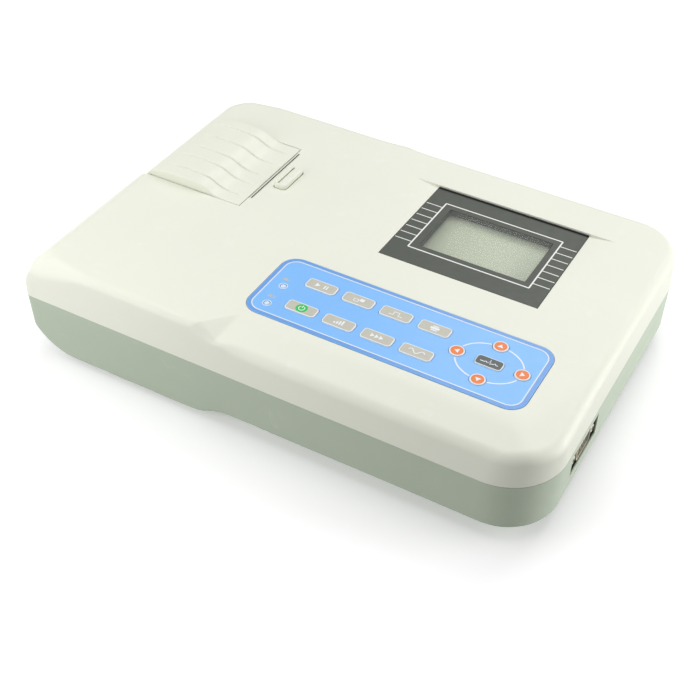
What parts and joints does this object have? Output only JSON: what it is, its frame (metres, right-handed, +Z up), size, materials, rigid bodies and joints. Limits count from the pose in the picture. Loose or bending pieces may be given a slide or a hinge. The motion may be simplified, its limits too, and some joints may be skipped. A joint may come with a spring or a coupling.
{
  "type": "ecg machine",
  "caption": "Desk-top single-channel ECG recorder: moulded case with display, membrane keypad, hinged thermal-printer cover and patient-cable socket.",
  "frame": {"origin": "centre of the case's footprint, on the plane of the rubber feet's soles", "axes": "+X to the user's right (patient socket side), +Y to the back, +Z up"},
  "size_m": [0.29, 0.2111, 0.0625],
  "materials": {
    "ivory_plastic": "fine-textured warm white ABS",
    "sage_plastic": "fine-textured grey-green ABS",
    "cover_plastic": "satin warm white ABS",
    "button_plastic": "satin warm white ABS",
    "printer_plastic": "pale grey glass-filled nylon",
    "gear_plastic": "natural acetal",
    "steel": "drawn",
    "plated_steel": "zinc plated sheet",
    "spring_steel": "wire",
    "platen_rubber": "ground rubber",
    "head_ceramic": "glazed ceramic",
    "head_aluminium": "extruded",
    "motor_steel": "plated can",
    "thermal_paper": "coated paper",
    "black_plastic": "moulded",
    "panel_film": "printed satin film",
    "window_acrylic": "clear acrylic",
    "lcd_cell": "reflective display cell",
    "lcd_frame": "blackened",
    "circuit_board": "solder mask",
    "keypad_film": "printed blue polyester",
    "key_beige": "printed beige",
    "key_dark": "printed dark grey",
    "key_orange": "printed orange",
    "lamp_plastic": "diffusing",
    "transformer_steel": "varnished laminations",
    "battery_wrap": "heat-shrink sleeve",
    "foot_rubber": "moulded",
    "connector_metal": "tin plated"
  },
  "bodies": {
    "case": {"top_shell": "ivory_plastic", "bottom_shell": "sage_plastic", "cover_hinge_pin": "steel", "button_spring": "spring_steel", "latch_spring": "spring_steel", "printer_chassis": "printer_plastic", "feed_motor": "motor_steel", "head_spring_front": "spring_steel", "head_spring_back": "spring_steel", "tear_bar": "steel", "display_panel": "panel_film", "display_window": "window_acrylic", "lcd_bezel": "lcd_frame", "lcd_glass": "lcd_cell", "lcd_board": "circuit_board", "keypad_overlay": "keypad_film", "key_board": "circuit_board", "main_board": "circuit_board", "isolation_shield": "plated_steel", "power_board": "circuit_board", "transformer": "transformer_steel", "battery_pack": "battery_wrap", "battery_cover": "sage_plastic", "patient_connector": "connector_metal", "ac_inlet": "black_plastic", "rocker_frame": "black_plastic", "fuse_cap": "black_plastic", "ground_post": "connector_metal", "power_lamp": "lamp_plastic", "charge_lamp": "lamp_plastic", "foot_front_left": "foot_rubber", "foot_back_left": "foot_rubber", "foot_front_right": "foot_rubber", "foot_back_right": "foot_rubber"},
    "cover": {"recorder_cover": "cover_plastic"},
    "platen": {"platen_shaft": "steel", "platen_roller": "platen_rubber", "platen_gear": "gear_plastic"},
    "idler": {"idler_gear": "gear_plastic"},
    "pinion": {"motor_pinion": "steel"},
    "paper": {"paper_roll": "thermal_paper", "paper_spindle": "black_plastic"},
    "button": {"release_button": "button_plastic"},
    "latch": {"latch_bar": "plated_steel"},
    "head": {"print_head": "head_ceramic", "head_carrier": "head_aluminium"},
    "rocker": {"power_rocker": "black_plastic"},
    "start_button": {"start_key": "key_beige"},
    "mode_button": {"mode_key": "key_beige"},
    "calibration_button": {"calibration_key": "key_beige"},
    "print_button": {"print_key": "key_beige"},
    "power_button": {"power_key": "key_beige"},
    "sensitivity_button": {"sensitivity_key": "key_beige"},
    "speed_button": {"speed_key": "key_beige"},
    "filter_button": {"filter_key": "key_beige"},
    "set_button": {"set_key": "key_dark"},
    "left_button": {"left_key": "key_orange"},
    "right_button": {"right_key": "key_orange"},
    "up_button": {"up_key": "key_orange"},
    "down_button": {"down_key": "key_orange"}
  },
  "joints": [
    {"name": "cover_hinge", "type": "hinge", "parent": "case", "child": "cover", "pos_m": [-0.1392, 0.0315, 0.047], "axis": [0, -1, 0], "range_deg": [0, 95]},
    {"name": "paper_spin", "type": "hinge", "parent": "case", "child": "paper", "pos_m": [-0.11, 0.0333, 0.0365], "axis": [0, 1, 0], "continuous": true},
    {"name": "platen_spin", "type": "hinge", "parent": "cover", "child": "platen", "pos_m": [-0.0825, 0.0333, 0.0488], "axis": [0, 1, 0], "continuous": true},
    {"name": "idler_spin", "type": "hinge", "parent": "case", "child": "idler", "pos_m": [-0.07845, 0.0005, 0.03582], "axis": [0, 1, 0], "continuous": true},
    {"name": "pinion_spin", "type": "hinge", "parent": "case", "child": "pinion", "pos_m": [-0.06688, 0.0005, 0.02867], "axis": [0, 1, 0], "continuous": true},
    {"name": "button_press", "type": "slide", "parent": "case", "child": "button", "axis": [0, 0, -1], "range_m": [0, 0.002], "stiffness_N_per_m": 600, "springref_m": -0.001, "deforming": ["button_spring"]},
    {"name": "latch_slide", "type": "slide", "parent": "case", "child": "latch", "axis": [1, 0, 0], "range_m": [0, 0.0017], "stiffness_N_per_m": 400, "springref_m": -0.001, "deforming": ["latch_spring"]},
    {"name": "head_press", "type": "slide", "parent": "case", "child": "head", "axis": [1, 0, 0], "range_m": [0, 0.0008], "stiffness_N_per_m": 3000, "springref_m": -0.001, "deforming": ["head_spring_front", "head_spring_back"]},
    {"name": "rocker_throw", "type": "hinge", "parent": "case", "child": "rocker", "pos_m": [0.06, 0.1018, 0.0246], "axis": [0, 0, -1], "range_deg": [0, 16]},
    {"name": "start_button_press", "type": "slide", "parent": "case", "child": "start_button", "axis": [0, 0, -1], "range_m": [0, 0.0005], "stiffness_N_per_m": 3000, "springref_m": -0.0001},
    {"name": "mode_button_press", "type": "slide", "parent": "case", "child": "mode_button", "axis": [0, 0, -1], "range_m": [0, 0.0005], "stiffness_N_per_m": 3000, "springref_m": -0.0001},
    {"name": "calibration_button_press", "type": "slide", "parent": "case", "child": "calibration_button", "axis": [0, 0, -1], "range_m": [0, 0.0005], "stiffness_N_per_m": 3000, "springref_m": -0.0001},
    {"name": "print_button_press", "type": "slide", "parent": "case", "child": "print_button", "axis": [0, 0, -1], "range_m": [0, 0.0005], "stiffness_N_per_m": 3000, "springref_m": -0.0001},
    {"name": "power_button_press", "type": "slide", "parent": "case", "child": "power_button", "axis": [0, 0, -1], "range_m": [0, 0.0005], "stiffness_N_per_m": 3000, "springref_m": -0.0001},
    {"name": "sensitivity_button_press", "type": "slide", "parent": "case", "child": "sensitivity_button", "axis": [0, 0, -1], "range_m": [0, 0.0005], "stiffness_N_per_m": 3000, "springref_m": -0.0001},
    {"name": "speed_button_press", "type": "slide", "parent": "case", "child": "speed_button", "axis": [0, 0, -1], "range_m": [0, 0.0005], "stiffness_N_per_m": 3000, "springref_m": -0.0001},
    {"name": "filter_button_press", "type": "slide", "parent": "case", "child": "filter_button", "axis": [0, 0, -1], "range_m": [0, 0.0005], "stiffness_N_per_m": 3000, "springref_m": -0.0001},
    {"name": "set_button_press", "type": "slide", "parent": "case", "child": "set_button", "axis": [0, 0, -1], "range_m": [0, 0.0005], "stiffness_N_per_m": 3000, "springref_m": -0.0001},
    {"name": "left_button_press", "type": "slide", "parent": "case", "child": "left_button", "axis": [0, 0, -1], "range_m": [0, 0.0005], "stiffness_N_per_m": 3000, "springref_m": -0.0001},
    {"name": "right_button_press", "type": "slide", "parent": "case", "child": "right_button", "axis": [0, 0, -1], "range_m": [0, 0.0005], "stiffness_N_per_m": 3000, "springref_m": -0.0001},
    {"name": "up_button_press", "type": "slide", "parent": "case", "child": "up_button", "axis": [0, 0, -1], "range_m": [0, 0.0005], "stiffness_N_per_m": 3000, "springref_m": -0.0001},
    {"name": "down_button_press", "type": "slide", "parent": "case", "child": "down_button", "axis": [0, 0, -1], "range_m": [0, 0.0005], "stiffness_N_per_m": 3000, "springref_m": -0.0001}
  ],
  "couplings": [
    {"joint": "platen_spin", "follows": "paper_spin", "ratio": 4.2222},
    {"joint": "idler_spin", "follows": "paper_spin", "ratio": -1.4778},
    {"joint": "pinion_spin", "follows": "paper_spin", "ratio": 4.2222},
    {"joint": "latch_slide", "follows": "button_press", "ratio": 0.85}
  ]
}
